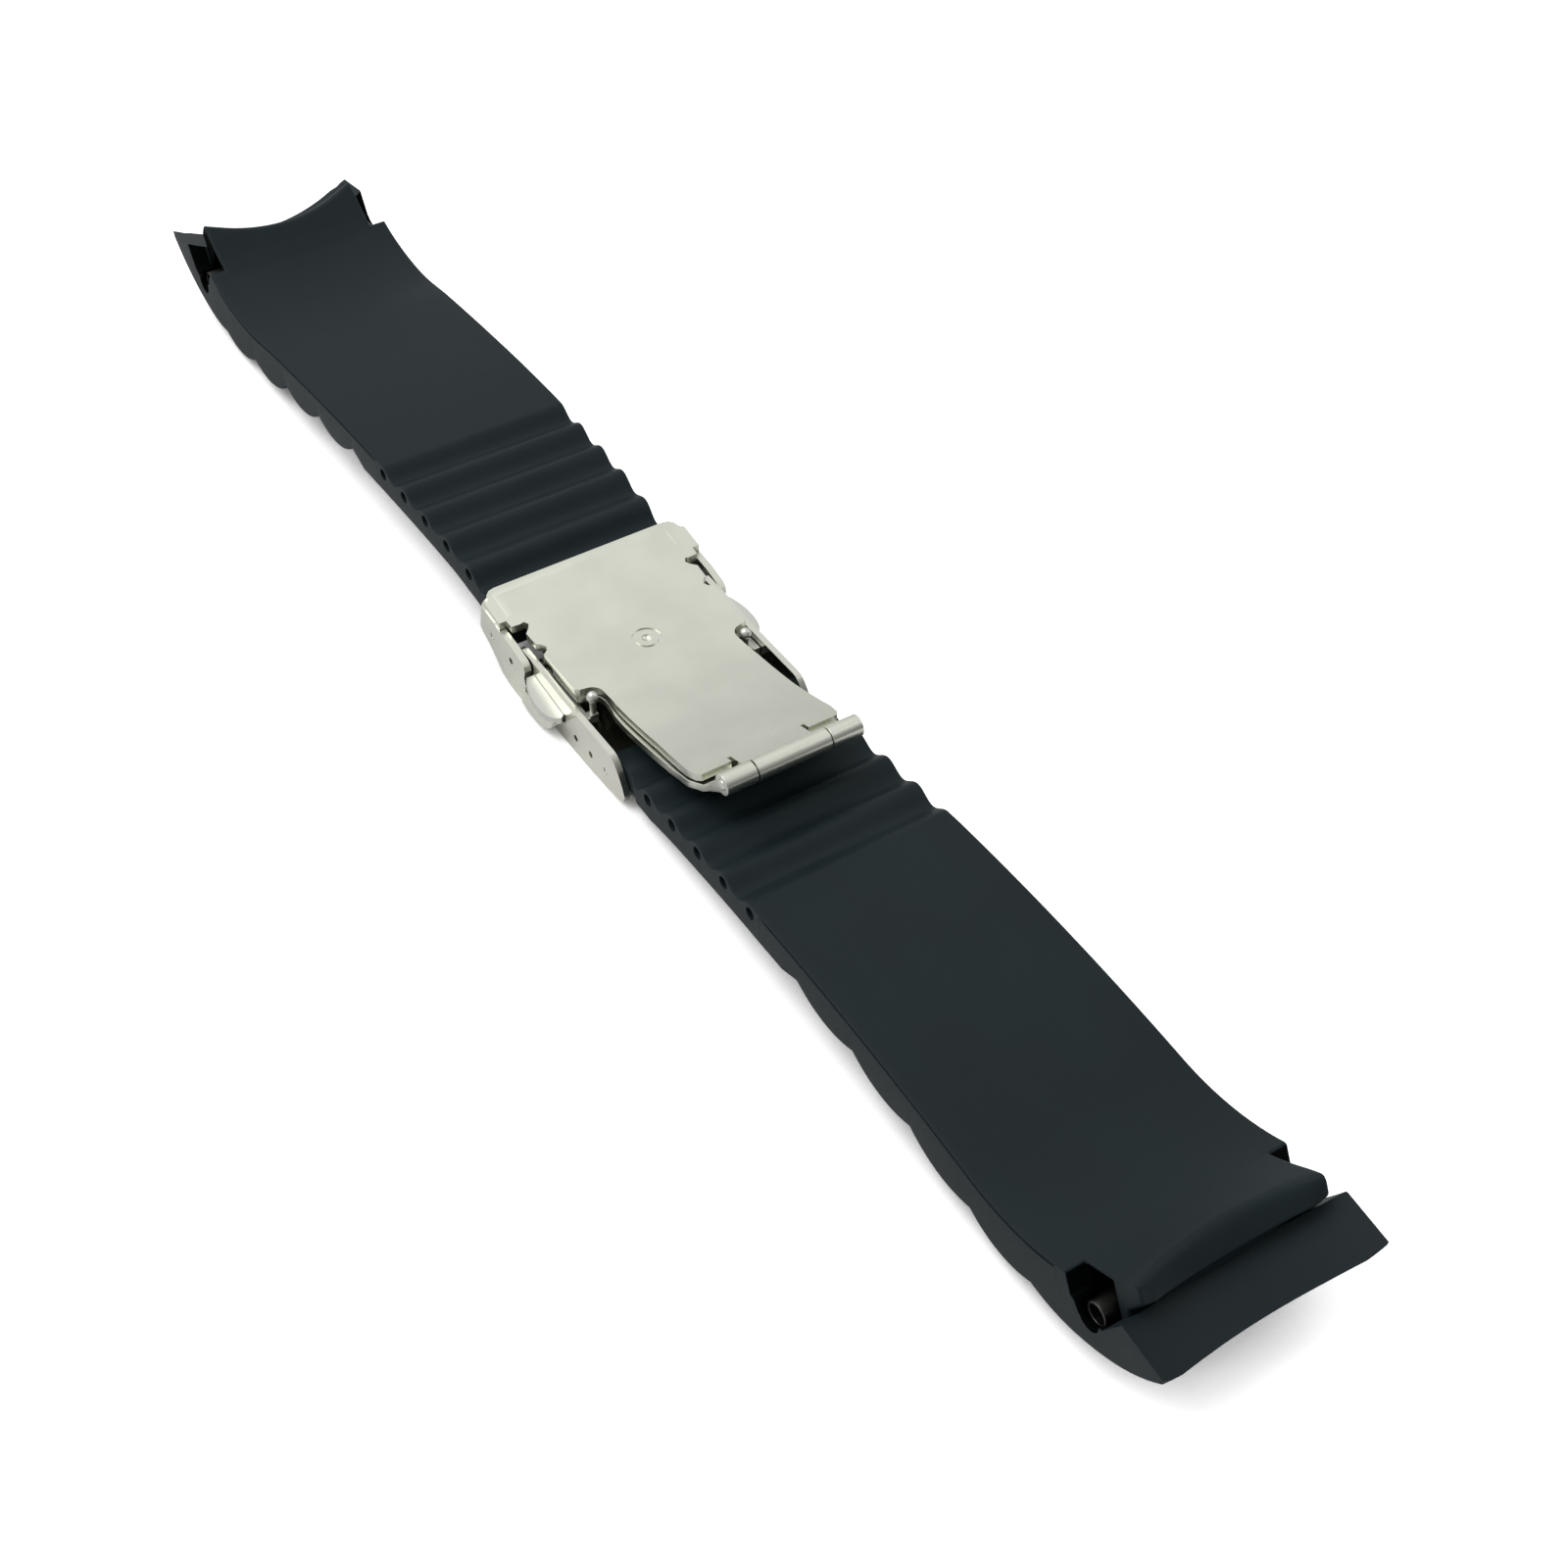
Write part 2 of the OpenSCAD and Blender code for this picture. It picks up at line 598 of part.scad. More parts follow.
module cover_wall() {
    between(wall_in, wall_out) difference() {
        wall_outline();
        button_slot();
        translate([hinge_x, hinge_z]) circle(r = pin_r + 0.01);
        for (i = [0 : sizing_count - 1])
            translate([near_bar_x - i * sizing_pitch, near_bar_z - i * 0.2]) circle(r = tip_r + run_gap);
    }
    between(wall_out - 0.1, guard_out) guard_outline();
}

// Side view of the button's slot
module button_slot() {
    translate([button_x, button_z]) rotate(-7)
        translate([-side_gap, -button_t - 0.1]) square([button_len + 2 * side_gap, button_t + 0.2]);
}

module cover() {
    count = 24;
    floor_back = hinge_x - 1.2;
    xs = [for (i = [0 : count]) floor_back + (cover_end - 1 - floor_back) * i / count];
    color(steel) union() {
        across(2 * wall_out) polygon(concat(
            [for (x = xs) [x, cover_low(x)]],
            [for (i = [count : -1 : 0]) [xs[i], cover_low(xs[i]) + cover_t]]
        ));
        for (side = [0, 1]) mirror([0, side, 0]) cover_wall();
    }
}

module cover_hinge_pin() {
    color(steel) rod(hinge_x, hinge_z, pin_r, -wall_out, wall_out);
}

// The block between the two button springs
spring_x = -0.7;
spring_z = 3.1;
spring_out_r = 1;
seat_w = 3;
spring_pocket = 1.4;
module spring_seat() {
    color(steel) difference() {
        translate([spring_x - 1.9, -seat_w, cover_t + 0.1]) cube([3.8, 2 * seat_w, 3.6]);
        for (side = [0, 1]) mirror([0, side, 0])
            rod(spring_x, spring_z, spring_out_r + run_gap, seat_w - spring_pocket, seat_w + 1);
    }
}

// A button: its tab, the catch plate behind the wall and the ball-headed catch
ball_x = 3.75;
ball_y = notch_y + ball_r + button_travel + 0.08;
ball_z = blade_z - 0.2;
module push_button() {
    top = 4.75;
    in_slope() translate([0, 0, -button_t]) linear_extrude(height = button_t) button_plan();
    between(plate_in, plate_out + 0.05) polygon([
        [button_x - 0.1, 2.6], [button_x + 0.5, 1.8], [2, 1.8], [2.8, 2.4], [2.8, 3.4], [ball_x + 0.7, 3.6],
        [ball_x + 0.7, top], [button_x + 0.4, top], [button_x - 0.1, top - 0.5]
    ]);
    rod(spring_x, spring_z, 0.6, plate_in - 1, plate_in + 0.1);
    translate([ball_x - 0.4, ball_y - 0.4, top - 1.05]) cube([0.8, plate_in - ball_y + 0.8, 1]);
    translate([ball_x, ball_y, top - 0.5]) cylinder(r = 0.35, h = ball_z - top + 0.5);
    translate([ball_x, ball_y, ball_z]) sphere(r = ball_r);
}

module push_button_left() {
    color(steel) mirror([0, 1, 0]) push_button();
}

module push_button_right() {
    color(steel) push_button();
}

// A coil spring along Y from y0 to y1, as one unbroken tube of rings
module coil(x, z, mean_r, wire_r, turns, y0, y1, sides = 6) {
    rings = turns * 8;
    pts = [for (i = [0 : rings]) let (a = 45 * i, y = y0 + wire_r + (y1 - y0 - 2 * wire_r) * i / rings)
        for (j = [0 : sides - 1]) let (b = 360 * j / sides, r = mean_r + wire_r * cos(b))
            [x + r * cos(a), y + wire_r * sin(b), z + r * sin(a)]];
    walls = [for (i = [0 : rings - 1]) for (j = [0 : sides - 1])
        let (k = (j + 1) % sides, p = i * sides, q = p + sides)
        each [[p + j, p + k, q + j], [p + k, q + k, q + j]]];
    caps = [for (j = [1 : sides - 2]) each
        [[0, j + 1, j], [rings * sides, rings * sides + j, rings * sides + j + 1]]];
    polyhedron(points = pts, faces = concat(walls, caps), convexity = 10);
}

module button_spring() {
    coil(spring_x, spring_z, spring_out_r - 0.15, 0.15, 8, seat_w - spring_pocket + 0.02, plate_in - 0.02);
}

module button_spring_left() {
    color(spring_steel) mirror([0, 1, 0]) button_spring();
}

module button_spring_right() {
    color(spring_steel) button_spring();
}

// A spring bar: a tube with lipped ends, a coil spring and two shouldered tips
lip = 0.25;
function bar_half(half) = half[2] - 0.2;
bore_r = bar_r - 0.15;
plunger_r = bore_r - run_gap;
plunger_len = 4;

module bar_tube(half) {
    long = bar_half(half);
    x = half[4] * half[0][0];
    z = half[0][1];
    difference() {
        rod(x, z, bar_r, -long, long);
        rod(x, z, bore_r, -long + lip, long - lip);
        rod(x, z, tip_r + run_gap, -wide / 2, wide / 2);
    }
}

module bar_spring(half) {
    long = bar_half(half) - lip - plunger_len - 0.02;
    coil(half[4] * half[0][0], half[0][1], plunger_r - 0.09, 0.09, 14, -long, long, sides = 5);
}

module bar_tip(half, reach) {
    long = bar_half(half) - lip;
    x = half[4] * half[0][0];
    z = half[0][1];
    rod(x, z, plunger_r, long - plunger_len, long - 0.01);
    rod(x, z, tip_r, long - 0.1, reach);
}

module bar_tube_far() {
    color(steel) bar_tube(far_half);
}

module bar_spring_far() {
    color(spring_steel) bar_spring(far_half);
}

module bar_tip_far_left() {
    color(steel) mirror([0, 1, 0]) bar_tip(far_half, arm_out - 0.05);
}

module bar_tip_far_right() {
    color(steel) bar_tip(far_half, arm_out - 0.05);
}

module bar_tube_near() {
    color(steel) bar_tube(near_half);
}

module bar_spring_near() {
    color(spring_steel) bar_spring(near_half);
}

module bar_tip_near_left() {
    color(steel) mirror([0, 1, 0]) bar_tip(near_half, wall_out - 0.05);
}

module bar_tip_near_right() {
    color(steel) bar_tip(near_half, wall_out - 0.05);
}

strap_far();
strap_near();
lug_sleeve_far();
lug_sleeve_near();
inner_blade();
middle_blade();
blade_hinge_pin();
cover();
cover_hinge_pin();
spring_seat();
push_button_left();
push_button_right();
button_spring_left();
button_spring_right();
bar_tube_far();
bar_spring_far();
bar_tip_far_left();
bar_tip_far_right();
bar_tube_near();
bar_spring_near();
bar_tip_near_left();
bar_tip_near_right();
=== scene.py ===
import json
import math
from types import SimpleNamespace

import bmesh
import bpy
import numpy as np
from mathutils import Matrix, Vector


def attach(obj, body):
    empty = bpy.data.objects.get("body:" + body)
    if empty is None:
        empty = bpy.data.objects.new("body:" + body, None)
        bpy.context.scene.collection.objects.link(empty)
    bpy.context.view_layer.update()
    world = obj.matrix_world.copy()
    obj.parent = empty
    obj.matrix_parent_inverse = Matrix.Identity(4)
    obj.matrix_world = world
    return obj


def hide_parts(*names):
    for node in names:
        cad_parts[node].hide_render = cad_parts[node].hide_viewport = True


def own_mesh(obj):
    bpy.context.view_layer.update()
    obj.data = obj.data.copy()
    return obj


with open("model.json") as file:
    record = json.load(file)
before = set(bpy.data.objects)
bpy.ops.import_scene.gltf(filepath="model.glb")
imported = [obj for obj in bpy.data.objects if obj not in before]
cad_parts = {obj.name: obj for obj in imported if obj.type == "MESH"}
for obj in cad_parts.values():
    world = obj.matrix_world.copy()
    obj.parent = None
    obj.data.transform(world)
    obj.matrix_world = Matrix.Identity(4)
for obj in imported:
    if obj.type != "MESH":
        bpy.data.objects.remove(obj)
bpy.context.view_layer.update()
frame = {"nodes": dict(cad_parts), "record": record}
nodes = frame["nodes"]
scene = bpy.context.scene
MM = 0.001

# Rounding of the steel: points nearer than this are one (mm), faces that differ less than this are one
# (degrees), and corners sharper than this are rounded (degrees)
WELD, FLAT_ANGLE, EDGE_ANGLE = 0.002, 0.6, 28


# Materials

def new_material(name):
    mat = bpy.data.materials.new(name)
    mat.use_nodes = True
    tree = mat.node_tree
    tree.nodes.clear()
    out = tree.nodes.new("ShaderNodeOutputMaterial")
    shader = tree.nodes.new("ShaderNodeBsdfPrincipled")
    tree.links.new(shader.outputs[0], out.inputs[0])
    return mat, tree, shader


def add(tree, kind, **values):
    node = tree.nodes.new(kind)
    for key, value in values.items():
        if hasattr(node, key):
            setattr(node, key, value)
        else:
            node.inputs[key].default_value = value
    return node


def coords(tree, scale):
    """Object coordinates, stretched, so that a pattern keeps its real size on every piece."""
    place = add(tree, "ShaderNodeTexCoord")
    stretch = add(tree, "ShaderNodeMapping")
    stretch.inputs["Scale"].default_value = scale
    tree.links.new(place.outputs["Object"], stretch.inputs["Vector"])
    return stretch.outputs[0]


def noise(tree, vector, scale, detail=2.0, rough=0.5):
    tex = add(tree, "ShaderNodeTexNoise")
    tex.inputs["Scale"].default_value = scale
    tex.inputs["Detail"].default_value = detail
    tex.inputs["Roughness"].default_value = rough
    tree.links.new(vector, tex.inputs["Vector"])
    return tex.outputs["Fac"]


def spread(tree, value, low, high, out_low, out_high):
    ramp = add(tree, "ShaderNodeMapRange")
    for key, number in (("From Min", low), ("From Max", high), ("To Min", out_low), ("To Max", out_high)):
        ramp.inputs[key].default_value = number
    tree.links.new(value, ramp.inputs["Value"])
    return ramp.outputs[0]


def two_tone(tree, fac, a, b):
    mix = add(tree, "ShaderNodeMix", data_type="RGBA")
    mix.inputs["A"].default_value = (*a, 1)
    mix.inputs["B"].default_value = (*b, 1)
    tree.links.new(fac, mix.inputs["Factor"])
    return mix.outputs["Result"]


def bump(tree, height, strength, distance):
    node = add(tree, "ShaderNodeBump")
    node.inputs["Strength"].default_value = strength
    node.inputs["Distance"].default_value = distance
    tree.links.new(height, node.inputs["Height"])
    return node.outputs[0]


def silicone_material(name, low, high, shine):
    """Matt moulded silicone: a blue-black body with a fine moulded grain and a faint cloudiness."""
    mat, tree, shader = new_material(name)
    shader.inputs["Specular IOR Level"].default_value = shine
    shader.inputs["IOR"].default_value = 1.41
    fine = noise(tree, coords(tree, (1, 1, 1)), 5200, 3.0, 0.6)
    cloud = noise(tree, coords(tree, (0.6, 1, 1)), 95, 3.0, 0.55)
    blend = spread(tree, cloud, 0.35, 0.65, 0.0, 1.0)
    tree.links.new(two_tone(tree, blend, low, high), shader.inputs["Base Color"])
    tree.links.new(spread(tree, cloud, 0.3, 0.7, 0.47, 0.56), shader.inputs["Roughness"])
    tree.links.new(bump(tree, fine, 0.18, 0.00004), shader.inputs["Normal"])
    return mat


def steel_material(name, colour, rough_low, rough_high, grain, strength, along=(1, 1, 1)):
    """Steel with a drawn grain that runs along one direction, fine hairlines and a faint warm tint."""
    mat, tree, shader = new_material(name)
    shader.inputs["Metallic"].default_value = 1.0
    lines = noise(tree, coords(tree, along), grain, 3.0, 0.6)
    broad = noise(tree, coords(tree, (1, 1, 1)), 160, 2.0, 0.5)
    darker = tuple(c * 0.93 for c in colour)
    tree.links.new(two_tone(tree, spread(tree, broad, 0.35, 0.65, 0.0, 1.0), darker, colour),
                   shader.inputs["Base Color"])
    tree.links.new(spread(tree, lines, 0.3, 0.7, rough_low, rough_high), shader.inputs["Roughness"])
    tree.links.new(bump(tree, lines, strength, 0.00002), shader.inputs["Normal"])
    return mat


silicone = silicone_material("moulded_silicone", (0.0095, 0.0165, 0.0195), (0.0115, 0.0195, 0.0225), 0.2)
# A near-black, hardly shiny copy of the silicone: painted shade for the lug notch, where little light comes
notch_painted_shade = silicone_material("notch_painted_shade", (0.001, 0.0014, 0.0016), (0.0016, 0.0022, 0.0024), 0.04)
plate_steel = steel_material("satin_plate_steel", (0.712, 0.728, 0.64), 0.27, 0.31, 2600, 0.035, (0.06, 1, 1))
wall_steel = steel_material("polished_wall_steel", (0.71, 0.71, 0.635), 0.17, 0.23, 2200, 0.04, (0.08, 1, 1))
button_steel = steel_material("brushed_button_steel", (0.63, 0.64, 0.59), 0.36, 0.44, 1600, 0.05, (0.1, 1, 1))
pin_steel = steel_material("turned_pin_steel", (0.72, 0.71, 0.65), 0.14, 0.22, 3000, 0.08, (1, 0.08, 1))
# Near-black steel for the lug sleeves: painted shade for the recess they sit in, which also keeps their glint
# out
sleeve_shade_steel = steel_material("sleeve_painted_shade", (0.075, 0.075, 0.07), 0.3, 0.42, 3000, 0.12, (1, 0.1, 1))
spring_wire = steel_material("drawn_spring_wire", (0.5, 0.5, 0.49), 0.25, 0.36, 4000, 0.15, (1, 1, 1))


# Making pieces from the frame's solids

def copy_of(node, name):
    mesh = nodes[node].data.copy()
    mesh.materials.clear()
    piece = bpy.data.objects.new(name, mesh)
    scene.collection.objects.link(piece)
    return piece


def bake_modifiers(piece):
    """Replaces a piece's mesh by its modified form."""
    graph = bpy.context.evaluated_depsgraph_get()
    made = bpy.data.meshes.new_from_object(piece.evaluated_get(graph))
    piece.modifiers.clear()
    piece.data = made


def rescale(piece, factor):
    piece.data.transform(Matrix.Scale(factor, 4))


def body_of(node):
    for body, members in frame["record"]["behaviour"]["bodies"].items():
        if node in members:
            return body
    return "root"


def dress(piece, material, node):
    """Gives a piece its material, and puts it in the place of a node, on the node's body."""
    piece.data.materials.clear()
    piece.data.materials.append(material)
    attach(piece, body_of(node))
    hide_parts(node)


def smooth(piece):
    for face in piece.data.polygons:
        face.use_smooth = True


def softened(node, name, material, width):
    """A steel solid with its corners rounded to width in mm, as stamped and tumbled parts have."""
    piece = copy_of(node, name)
    rescale(piece, 1 / MM)
    work = bmesh.new()
    work.from_mesh(piece.data)
    bmesh.ops.remove_doubles(work, verts=work.verts, dist=WELD)
    bmesh.ops.dissolve_limit(work, angle_limit=math.radians(FLAT_ANGLE), verts=work.verts, edges=work.edges)
    work.to_mesh(piece.data)
    work.free()
    edge = piece.modifiers.new("edges", "BEVEL")
    edge.width = width
    edge.segments = 3
    edge.limit_method = "ANGLE"
    edge.angle_limit = math.radians(EDGE_ANGLE)
    edge.use_clamp_overlap = True
    smooth(piece)
    even = piece.modifiers.new("even", "WEIGHTED_NORMAL")
    even.weight = 60
    bake_modifiers(piece)
    rescale(piece, MM)
    dress(piece, material, node)


def coil(node, name):
    """A coil spring, which shortens along Y towards its seat as its button goes in; here a smooth-shaded copy
    on a mesh of its own, not shortened.
    """
    piece = copy_of(node, name)
    smooth(piece)
    dress(piece, spring_wire, node)
    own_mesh(piece)


# The moulded strap halves, in mm and degrees. A half is drawn on the +X side and mirrored for the far one.
# Its path runs through the spring bar and the ribs' bores.
#   side         which way it points along X
#   start        x, z and heading of its path at the spring bar
#   bends        length and turn of the path's arcs
#   tail_width   half its width in the clasp, as far as mouth
#   tail_depth   how far the tail reaches below the path
#   rise         height of the scallops
#   valleys      depth of the valleys between the scallops, by number
#   notch        how far past the last bend the lug notch starts
#   shade        how far out the notch gets painted shade
#   arch         how much the silicone arches up, by x

FAR = SimpleNamespace(
    side=-1, start=(12.4, 4.65, 25.3), bends=((13, -25.5), (48.3, -6.5), (14.2, 33)),
    tail_width=11.05, mouth=3.0, tail_depth=2.1, rise=1.75, notch=0.85, shade=6.9,
    valleys=((0, 1.15), (1, 1.5), (2, 2.0), (3, 2.65), (4, 3.0)),
    arch=((12, 0), (20, 0.15), (30, 0.55), (40, 0.85), (50, 1.0), (70, 1.0), (80, 0.6), (86, 0.1), (88, 0)))
NEAR = SimpleNamespace(
    side=1, start=(10.0, 2.6, 19.3), bends=((13, -13), (50, -12.5), (14.2, 33)),
    tail_width=10.7, mouth=4.4, tail_depth=1.15, rise=1.15, notch=0.0, shade=4.1,
    valleys=((0, 1.7), (4, 3.0)),
    arch=((0, 0), (1, 0)))

CREST = 1.2                   # from the path up to the wrist side
TAIL = 1.6                    # length of the rounded tail past the spring bar
FIRST_RIB, RIB_PITCH, RIB_DEPTH = 8.0, 4.95, 1.1
LAST_RIB = FIRST_RIB + 4 * RIB_PITCH
VALLEY, SCALLOP = LAST_RIB + 8.6, 9.3   # first valley of the outer face, and length of a scallop
RIB_STRETCH_DEPTH, END_DEPTH, BEND_DEPTH = 2.7, 3.0, 5.1   # below the path: at the ribs, last valley, last bend
CROWN, RIM = 0.7, 13.0        # bulge of a scallop across the strap, gone at RIM from the middle
BELLY_MIDDLE, BELLY_TOP, BELLY_R = 3.7, 12.9, 19.9   # the arc under the lug end
SHOULDER, NECK = 12, 11.58    # half widths at the lug end and after the last rib
GROOVE = 0.36                 # depth of the parting groove
TONGUE = 7.4                  # reach of the tongue past the last bend
TONGUE_HALF = 10              # half its width
TIP = TONGUE + 4.0            # reach of the flap
NOSE_R, NOSE_START, NOSE_SLOPE = 21.5, 4.9, 19   # the scoop of the tongue's nose
FLANK_R, FLANK_RUN, FLANK_DROP = 27, 4.3, 3.1    # the scoop of the flap, and its slope
BORE_R, LUG_BORE_R = 0.7, 1.26
LUG_BORE = (2.1, -3.75)
POCKET_X, POCKET_Y, POCKET_Z = (0.35, 3.95), (7.6, 11.5), (-5.1, -0.15)

# From the wrist side at the last bend down to the lug floor and flap, and to the underside, by distance
FLOOR = ((0.02, -2.3), (0.4, -2.7), (0.7, -3.9), (3.8, -4.05), (6.2, -2.5), (7, -1.95), (8, -1.95),
         (TIP, -4.7))
UNDER = ((0, -6.6), (3, -6.8), (6.4, -6.6), (9.4, -6.0), (11.2, -5.45), (TIP, -5.1))
TONGUE_TOP = ((-2, -0.5), (-0.3, -0.02), (1, 0.06), (2.4, 0.2), (3.8, 0.42), (5.2, 0.68), (6.5, 0.86),
              (8, 0.98))


def along(half, s):
    """x, z and heading of the path, s mm from the spring bar; it runs straight on past both ends."""
    x, z, head = half.start
    for length, turn in half.bends:
        part = min(s, length) if s > 0 else 0
        r = length / math.radians(turn)
        a, b = math.radians(head), math.radians(head + turn * part / length)
        x += r * (math.sin(b) - math.sin(a))
        z -= r * (math.cos(b) - math.cos(a))
        head += turn * part / length
        if s < length:
            s = min(s, 0)
            break
        s -= length
    a = math.radians(head)
    return x + s * math.cos(a), z + s * math.sin(a), head


def end_of(half):
    return sum(b[0] for b in half.bends)


def table(x, rows):
    return float(np.interp(x, [r[0] for r in rows], [r[1] for r in rows]))


def tail_curve(s):
    return 1 - math.sqrt(max(0.0, 1 - (s / TAIL) ** 2))


def arc(r, x):
    """How high a circle of radius r stands at x from its middle."""
    return math.sqrt(r ** 2 - x ** 2)


def inner_face(half, s, y):
    """Height of the wrist side over the path: ribs, level stretch, lug floor, flap."""
    past = s - end_of(half) - half.notch
    if past > 0:
        return CREST + table(past + half.notch * max(0.0, past / TIP), FLOOR)
    if s < 0:
        return CREST - (CREST + half.tail_depth) / 2 * tail_curve(s)
    if FIRST_RIB - RIB_PITCH < s < LAST_RIB:
        return CREST - RIB_DEPTH * (1 - math.cos(2 * math.pi * (s - FIRST_RIB) / RIB_PITCH)) / 2
    if past > -0.25 and abs(y) > 9.9:
        return CREST - 0.25 + arc(0.25, past + 0.25)
    return CREST


def outer_face(half, s, y):
    """Height of the show side over the path, which it lies below: tail, ribbed stretch, scallops, belly."""
    end = end_of(half)
    past = s - end
    bulge = CROWN * (1 - (y / RIM) ** 2)
    last = VALLEY + 4 * SCALLOP
    if s < 0:
        return -half.tail_depth + (CREST + half.tail_depth) / 2 * tail_curve(s)
    if past > 0:
        low = CREST + table(past, UNDER)
    elif s > last:
        low = -table(s, ((last, END_DEPTH), (end, BEND_DEPTH)))
    elif s > VALLEY:
        low = -min(table((s - VALLEY) / SCALLOP, half.valleys), END_DEPTH)
    else:
        low = -table(s, ((0, half.tail_depth), (FIRST_RIB, RIB_STRETCH_DEPTH), (VALLEY - 3, RIB_STRETCH_DEPTH),
                         (VALLEY, half.valleys[0][1])))
    radius = (SCALLOP ** 2 / 4 + half.rise ** 2) / (2 * half.rise)
    for k in range(4):
        mid = VALLEY + (k + 0.5) * SCALLOP
        if abs(s - mid) < 0.7 * SCALLOP:
            deep = table(k + 0.5, half.valleys) + half.rise
            low = min(low, radius - deep - arc(radius + bulge, s - mid))
    if -9.3 < past < 10.9:
        low = min(low, CREST + BELLY_TOP - arc(BELLY_R + bulge, past - BELLY_MIDDLE))
    return low


def half_width(half, s):
    return table(s, ((half.mouth, half.tail_width), (half.mouth + 0.6, 11.05), (LAST_RIB + 2, NECK),
                     (end_of(half) - 4, SHOULDER)))


def section(half, s):
    """One cross-section as (y, height) points: rounded corners and the parting groove under each top edge."""
    w = half_width(half, s)
    end = end_of(half)
    top, low = inner_face(half, s, w), outer_face(half, s, w)
    soft = min(0.28, (top - low) / 3.2)
    groove = GROOVE * max(0.0, min(1.0, (s - LAST_RIB - 1.5) / 1.5, end - 1.4 - s))
    bend = np.radians((90, 67.5, 45, 22.5, 0))
    crisp = soft * 0.5
    side = [(w - crisp * (1 - math.cos(a)), top - crisp * (1 - math.sin(a))) for a in bend]
    step = min(1.0, (top - low) / 2.4)
    for down, cut in ((0.16, 0), (0.19, 0.9), (0.29, 1), (0.41, 0.9), (0.46, 0)):
        side.append((w - groove * cut, top - down * step))
    side += [(w - soft * (1 - math.cos(a)), low + soft * (1 - math.sin(a))) for a in reversed(bend)]
    inner = w - soft
    across = [inner * i / 14 for i in range(-13, 14)]
    ring = [(y, inner_face(half, s, y)) for y in across] + side
    ring += [(y, outer_face(half, s, y)) for y in reversed(across)] + [(-y, h) for y, h in reversed(side)]
    return ring


def skin(rings, name):
    """A closed mesh through rings of points, with a flat cap at each end."""
    count = len(rings[0])
    verts = [p for ring in rings for p in ring]
    faces = [tuple(range(count))[::-1], tuple(range(len(verts) - count, len(verts)))]
    for i in range(len(rings) - 1):
        for j in range(count):
            k = (j + 1) % count
            faces.append((i * count + j, i * count + k, (i + 1) * count + k, (i + 1) * count + j))
    mesh = bpy.data.meshes.new(name)
    mesh.from_pydata(verts, [], faces)
    work = bmesh.new()
    work.from_mesh(mesh)
    bmesh.ops.recalc_face_normals(work, faces=work.faces)
    work.to_mesh(mesh)
    work.free()
    piece = bpy.data.objects.new(name, mesh)
    scene.collection.objects.link(piece)
    return piece


def shoulder_frame(half):
    """The frame of the lug end: its origin on the wrist side at the last bend, +X outwards."""
    x, z, head = along(half, end_of(half))
    a = math.radians(head)
    place = Matrix.Translation((x - CREST * math.sin(a), 0, z + CREST * math.cos(a)))
    return place @ Matrix.Rotation(-a, 4, "Y")


def pull(a, b, c, t):
    """A point of the curve from a to c that b pulls."""
    return tuple((1 - t) ** 2 * a[i] + 2 * t * (1 - t) * b[i] + t * t * c[i] for i in (0, 1))


def between(a, b, share):
    return tuple(a[i] * (1 - share) + b[i] * share for i in (0, 1))


def strap_body(half):
    end = end_of(half)
    coarse = 1
    places = [-TAIL, -1.58, -1.5, -1.35, -1.1, -0.75, -0.4, 0]
    places += list(np.linspace(0, LAST_RIB + 2, 180 // coarse + 1)[1:])
    places += list(np.linspace(LAST_RIB + 2, end - 0.3, 200 // coarse + 1)[1:])
    notch = end + half.notch
    places += [end - 0.2] if half.notch else []
    places += [notch - p for p in (0.25, 0.15, 0.07, 0.02, 0)]
    places += [notch + p for p in (0.02, 0.4, 0.7, 2, 3, 3.8, 4.6, 5.4, 6.2, 7, 7.5, 8, 9, 9.8)]
    places += [end + p for p in (10.89, 10.91, 11.2, TIP)]
    rings = []
    for s in places:
        x, z, head = along(half, s)
        a = math.radians(head)
        rings.append([(x - h * math.sin(a), y, z + h * math.cos(a)) for y, h in section(half, s)])
    return skin(rings, "body")


def tongue_outline(y):
    """The tongue's side outline at y: its nose follows the case's upper edge, which scoops it in the middle."""
    lean = math.radians(NOSE_SLOPE)
    start = NOSE_START + (NOSE_R - arc(NOSE_R, y)) / math.cos(lean)
    nose = min(start, TONGUE)
    peak = (nose, table(nose, TONGUE_TOP))
    lip_z = -2.2 + 1.1 * (y / TONGUE_HALF) ** 2
    lip = (min(TONGUE, start + (0.6 - lip_z) * math.tan(lean)), lip_z)
    last = (min(5.2, lip[0] - 0.5), -2.6)
    rim = [(x, table(x, TONGUE_TOP)) for x in [-2, -1] + list(np.linspace(-0.3, nose - 0.75, 12))]
    face = between(peak, lip, 0.5)
    before, after = between(face, lip, 0.75), between(lip, last, 0.2)
    bend = rim[-1]
    rim += [pull(bend, peak, face, t) for t in np.linspace(0, 1, 9)[1:]]
    rim += [pull(before, lip, after, t) for t in np.linspace(0, 1, 6)]
    return rim + [last, (4.3, -5.5), (-2, -5.5)]


def strap_tongue(half):
    frame_at = shoulder_frame(half)
    soft = 0.3
    flat_half = TONGUE_HALF - soft
    turns = np.radians((90, 70, 50, 30, 10))
    places = [(flat_half + soft * math.sin(a), soft * (1 - math.cos(a))) for a in turns]
    places += [(y, 0.0) for y in np.linspace(flat_half, -flat_half, 60)]
    places += [(-y, inset) for y, inset in reversed(places[:5])]
    rings = []
    for y, inset in places:
        flat = tongue_outline(y)
        ring = []
        for i, (x, z) in enumerate(flat):
            before, after = flat[i - 1], flat[(i + 1) % len(flat)]
            dx, dz = after[0] - before[0], after[1] - before[1]
            size = math.hypot(dx, dz)
            ring.append(frame_at @ Vector((x + inset * dz / size, y, z - inset * dx / size)))
        rings.append(ring)
    return skin(rings, "tongue")


